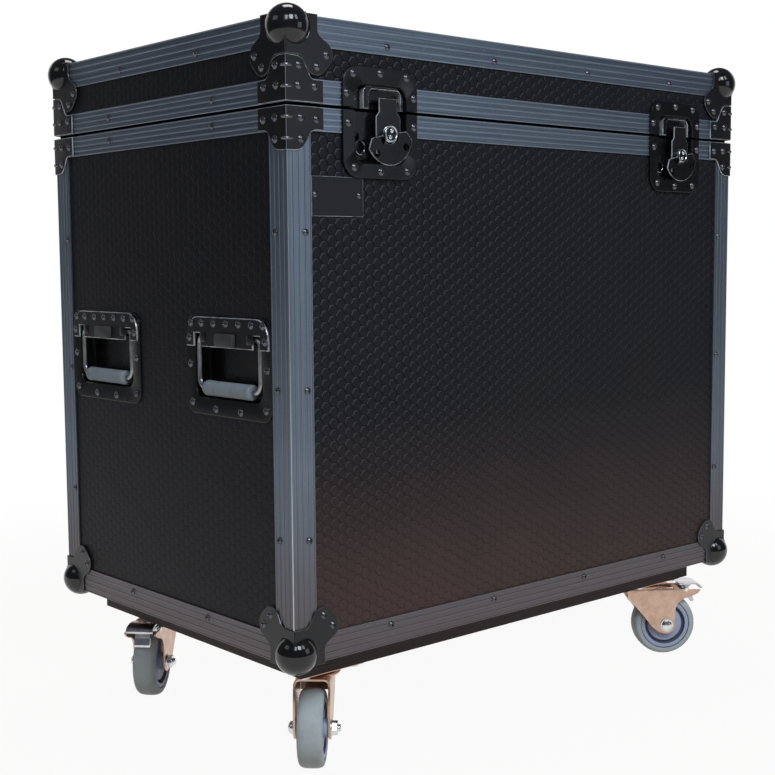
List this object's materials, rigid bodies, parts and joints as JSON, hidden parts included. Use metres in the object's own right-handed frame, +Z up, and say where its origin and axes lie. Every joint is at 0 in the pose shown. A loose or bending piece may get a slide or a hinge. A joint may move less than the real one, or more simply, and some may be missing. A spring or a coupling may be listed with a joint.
{
  "type": "road trunk",
  "caption": "Tall black plywood road trunk with a hinged lid, metal-edged corners, recessed butterfly latches, sprung handles and swivel castors.",
  "frame": {"origin": "on the floor under the middle of the case", "axes": "+X along the front to the right end, -Y out of the front with the latches, +Z up"},
  "size_m": [0.896, 0.586, 0.937],
  "materials": {
    "film_plywood": "black hexagon-embossed phenolic film over plywood, satin",
    "edging": "dark grey-blue anodised, fluted along its length",
    "black_steel": "black powder coat, satin to gloss",
    "grey_steel": "dull grey",
    "zinc_steel": "bright zinc",
    "wheel_rubber": "grey non-marking rubber on a grey hub",
    "grip_rubber": "matte grey",
    "board": "dark stained hardwood board"
  },
  "bodies": {
    "body": {"body_edging": "edging", "body_rim_frame": "edging", "front_panel": "film_plywood", "back_panel": "film_plywood", "left_panel": "film_plywood", "right_panel": "film_plywood", "floor_panel": "film_plywood", "castor_board": "board", "nameplate": "black_steel", "base_corner_back_left": "black_steel", "base_corner_back_right": "black_steel", "base_corner_front_left": "black_steel", "base_corner_front_right": "black_steel", "handle_left_front_dish": "black_steel", "handle_left_back_dish": "black_steel", "handle_right_front_dish": "black_steel", "handle_right_back_dish": "black_steel", "latch_left_body_dish": "black_steel", "latch_right_body_dish": "black_steel", "hinge_left_body_leaf": "black_steel", "hinge_right_body_leaf": "black_steel", "castor_back_left_plate": "zinc_steel", "castor_back_right_plate": "zinc_steel", "castor_front_left_plate": "zinc_steel", "castor_front_right_plate": "zinc_steel"},
    "lid": {"lid_shell": "film_plywood", "lid_edging": "edging", "lid_rim_frame": "edging", "lid_corner_back_left": "black_steel", "lid_corner_back_right": "black_steel", "lid_corner_front_left": "black_steel", "lid_corner_front_right": "black_steel", "latch_left_lid_dish": "black_steel", "latch_right_lid_dish": "black_steel", "hinge_left_lid_leaf": "black_steel", "hinge_right_lid_leaf": "black_steel"},
    "handle_left_front_bail": {"handle_left_front_bail": "zinc_steel", "handle_left_front_grip": "grip_rubber"},
    "handle_left_back_bail": {"handle_left_back_bail": "zinc_steel", "handle_left_back_grip": "grip_rubber"},
    "handle_right_front_bail": {"handle_right_front_bail": "zinc_steel", "handle_right_front_grip": "grip_rubber"},
    "handle_right_back_bail": {"handle_right_back_bail": "zinc_steel", "handle_right_back_grip": "grip_rubber"},
    "latch_left_spindle": {"latch_left_spindle": "grey_steel"},
    "latch_left_hook": {"latch_left_hook": "black_steel"},
    "latch_left_wing": {"latch_left_wing": "black_steel"},
    "latch_right_spindle": {"latch_right_spindle": "grey_steel"},
    "latch_right_hook": {"latch_right_hook": "black_steel"},
    "latch_right_wing": {"latch_right_wing": "black_steel"},
    "castor_front_left_fork": {"castor_front_left_fork": "zinc_steel"},
    "castor_front_left_wheel": {"castor_front_left_wheel": "wheel_rubber"},
    "castor_front_right_fork": {"castor_front_right_fork": "zinc_steel"},
    "castor_front_right_wheel": {"castor_front_right_wheel": "wheel_rubber"},
    "castor_front_right_brake": {"castor_front_right_brake": "zinc_steel"},
    "castor_back_left_fork": {"castor_back_left_fork": "zinc_steel"},
    "castor_back_left_wheel": {"castor_back_left_wheel": "wheel_rubber"},
    "castor_back_left_brake": {"castor_back_left_brake": "zinc_steel"},
    "castor_back_right_fork": {"castor_back_right_fork": "zinc_steel"},
    "castor_back_right_wheel": {"castor_back_right_wheel": "wheel_rubber"}
  },
  "joints": [
    {"name": "lid_hinge", "type": "hinge", "parent": "body", "child": "lid", "pos_m": [0, 0.2843, 0.822], "axis": [-1, 0, 0], "range_deg": [0, 95]},
    {"name": "handle_left_front_swing", "type": "hinge", "parent": "body", "child": "handle_left_front_bail", "pos_m": [-0.431, -0.151, 0.546], "axis": [0, 1, 0], "range_deg": [0, 90], "stiffness_Nm_per_rad": 0.05, "springref_deg": -28.65},
    {"name": "handle_left_back_swing", "type": "hinge", "parent": "body", "child": "handle_left_back_bail", "pos_m": [-0.431, 0.151, 0.546], "axis": [0, 1, 0], "range_deg": [0, 90], "stiffness_Nm_per_rad": 0.05, "springref_deg": -28.65},
    {"name": "handle_right_front_swing", "type": "hinge", "parent": "body", "child": "handle_right_front_bail", "pos_m": [0.431, -0.151, 0.546], "axis": [0, -1, 0], "range_deg": [0, 90], "stiffness_Nm_per_rad": 0.05, "springref_deg": -28.65},
    {"name": "handle_right_back_swing", "type": "hinge", "parent": "body", "child": "handle_right_back_bail", "pos_m": [0.431, 0.151, 0.546], "axis": [0, -1, 0], "range_deg": [0, 90], "stiffness_Nm_per_rad": 0.05, "springref_deg": -28.65},
    {"name": "latch_left_twist", "type": "hinge", "parent": "body", "child": "latch_left_spindle", "pos_m": [-0.281, -0.28, 0.7945], "axis": [0, -1, 0], "range_deg": [0, 180]},
    {"name": "latch_left_lift", "type": "slide", "parent": "body", "child": "latch_left_hook", "axis": [0, 0, 1], "range_m": [0, 0.01]},
    {"name": "latch_left_fold", "type": "hinge", "parent": "latch_left_spindle", "child": "latch_left_wing", "pos_m": [-0.281, -0.2852, 0.7945], "axis": [-0.9816, 0, -0.1908], "range_deg": [0, 90]},
    {"name": "latch_right_twist", "type": "hinge", "parent": "body", "child": "latch_right_spindle", "pos_m": [0.305, -0.28, 0.7945], "axis": [0, -1, 0], "range_deg": [0, 180]},
    {"name": "latch_right_lift", "type": "slide", "parent": "body", "child": "latch_right_hook", "axis": [0, 0, 1], "range_m": [0, 0.01]},
    {"name": "latch_right_fold", "type": "hinge", "parent": "latch_right_spindle", "child": "latch_right_wing", "pos_m": [0.305, -0.2852, 0.7945], "axis": [-0.9816, 0, -0.1908], "range_deg": [0, 90]},
    {"name": "castor_front_left_swivel", "type": "hinge", "parent": "body", "child": "castor_front_left_fork", "pos_m": [-0.335, -0.192, 0.1157], "axis": [0, 0, 1], "continuous": true},
    {"name": "castor_front_left_roll", "type": "hinge", "parent": "castor_front_left_fork", "child": "castor_front_left_wheel", "pos_m": [-0.3614, -0.21934, 0.05], "axis": [0.7193, -0.6947, 0], "continuous": true},
    {"name": "castor_front_right_swivel", "type": "hinge", "parent": "body", "child": "castor_front_right_fork", "pos_m": [0.335, -0.192, 0.1157], "axis": [0, 0, 1], "continuous": true},
    {"name": "castor_front_right_roll", "type": "hinge", "parent": "castor_front_right_fork", "child": "castor_front_right_wheel", "pos_m": [0.36574, -0.21434, 0.05], "axis": [0.5878, 0.809, 0], "continuous": true},
    {"name": "castor_front_right_brake_press", "type": "hinge", "parent": "castor_front_right_fork", "child": "castor_front_right_brake", "pos_m": [0.39163, -0.23314, 0.1077], "axis": [0.5878, 0.809, 0], "range_deg": [0, 8]},
    {"name": "castor_back_left_swivel", "type": "hinge", "parent": "body", "child": "castor_back_left_fork", "pos_m": [-0.335, 0.192, 0.1157], "axis": [0, 0, 1], "continuous": true},
    {"name": "castor_back_left_roll", "type": "hinge", "parent": "castor_back_left_fork", "child": "castor_back_left_wheel", "pos_m": [-0.36324, 0.16657, 0.05], "axis": [0.6691, -0.7431, 0], "continuous": true},
    {"name": "castor_back_left_brake_press", "type": "hinge", "parent": "castor_back_left_fork", "child": "castor_back_left_brake", "pos_m": [-0.38702, 0.14516, 0.1077], "axis": [0.6691, -0.7431, 0], "range_deg": [0, 8]},
    {"name": "castor_back_right_swivel", "type": "hinge", "parent": "body", "child": "castor_back_right_fork", "pos_m": [0.335, 0.192, 0.1157], "axis": [0, 0, 1], "continuous": true},
    {"name": "castor_back_right_roll", "type": "hinge", "parent": "castor_back_right_fork", "child": "castor_back_right_wheel", "pos_m": [0.354, 0.15909, 0.05], "axis": [0.866, 0.5, 0], "continuous": true}
  ],
  "couplings": [
    {"joint": "latch_left_twist", "follows": "latch_left_lift", "rad_per_m": 314.16},
    {"joint": "latch_right_twist", "follows": "latch_right_lift", "rad_per_m": 314.16}
  ]
}
